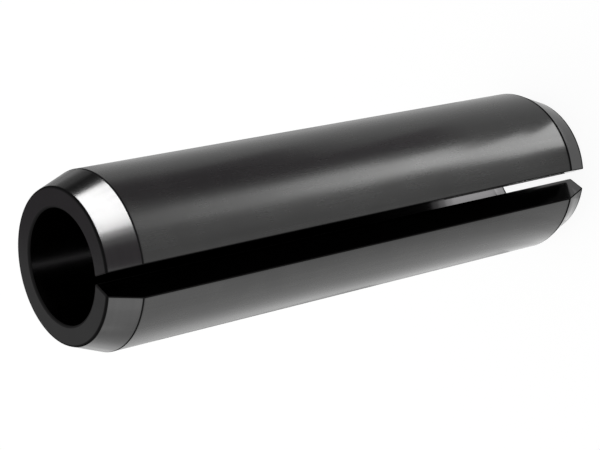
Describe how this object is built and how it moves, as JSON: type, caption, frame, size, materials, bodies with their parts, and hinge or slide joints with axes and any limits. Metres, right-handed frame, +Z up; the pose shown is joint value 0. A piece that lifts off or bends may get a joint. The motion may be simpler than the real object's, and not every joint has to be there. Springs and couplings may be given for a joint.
{
  "type": "slotted spring pin",
  "caption": "Slotted spring pin: a rolled spring-steel tube with a V slot along its side and a lead-in cone on each end, pressed into a drilled hole.",
  "frame": {"origin": "on the pin's axis, in the plane of the lower end face that it stands on", "axes": "+Z up the pin's axis from the lower end face, the slot faces -Y, +X completes the right-handed frame"},
  "size_m": [0.0066, 0.0065, 0.024],
  "materials": {
    "spring_steel": "oil-blackened, satin"
  },
  "bodies": {
    "root": {"roll_pin": "spring_steel"}
  },
  "joints": []
}
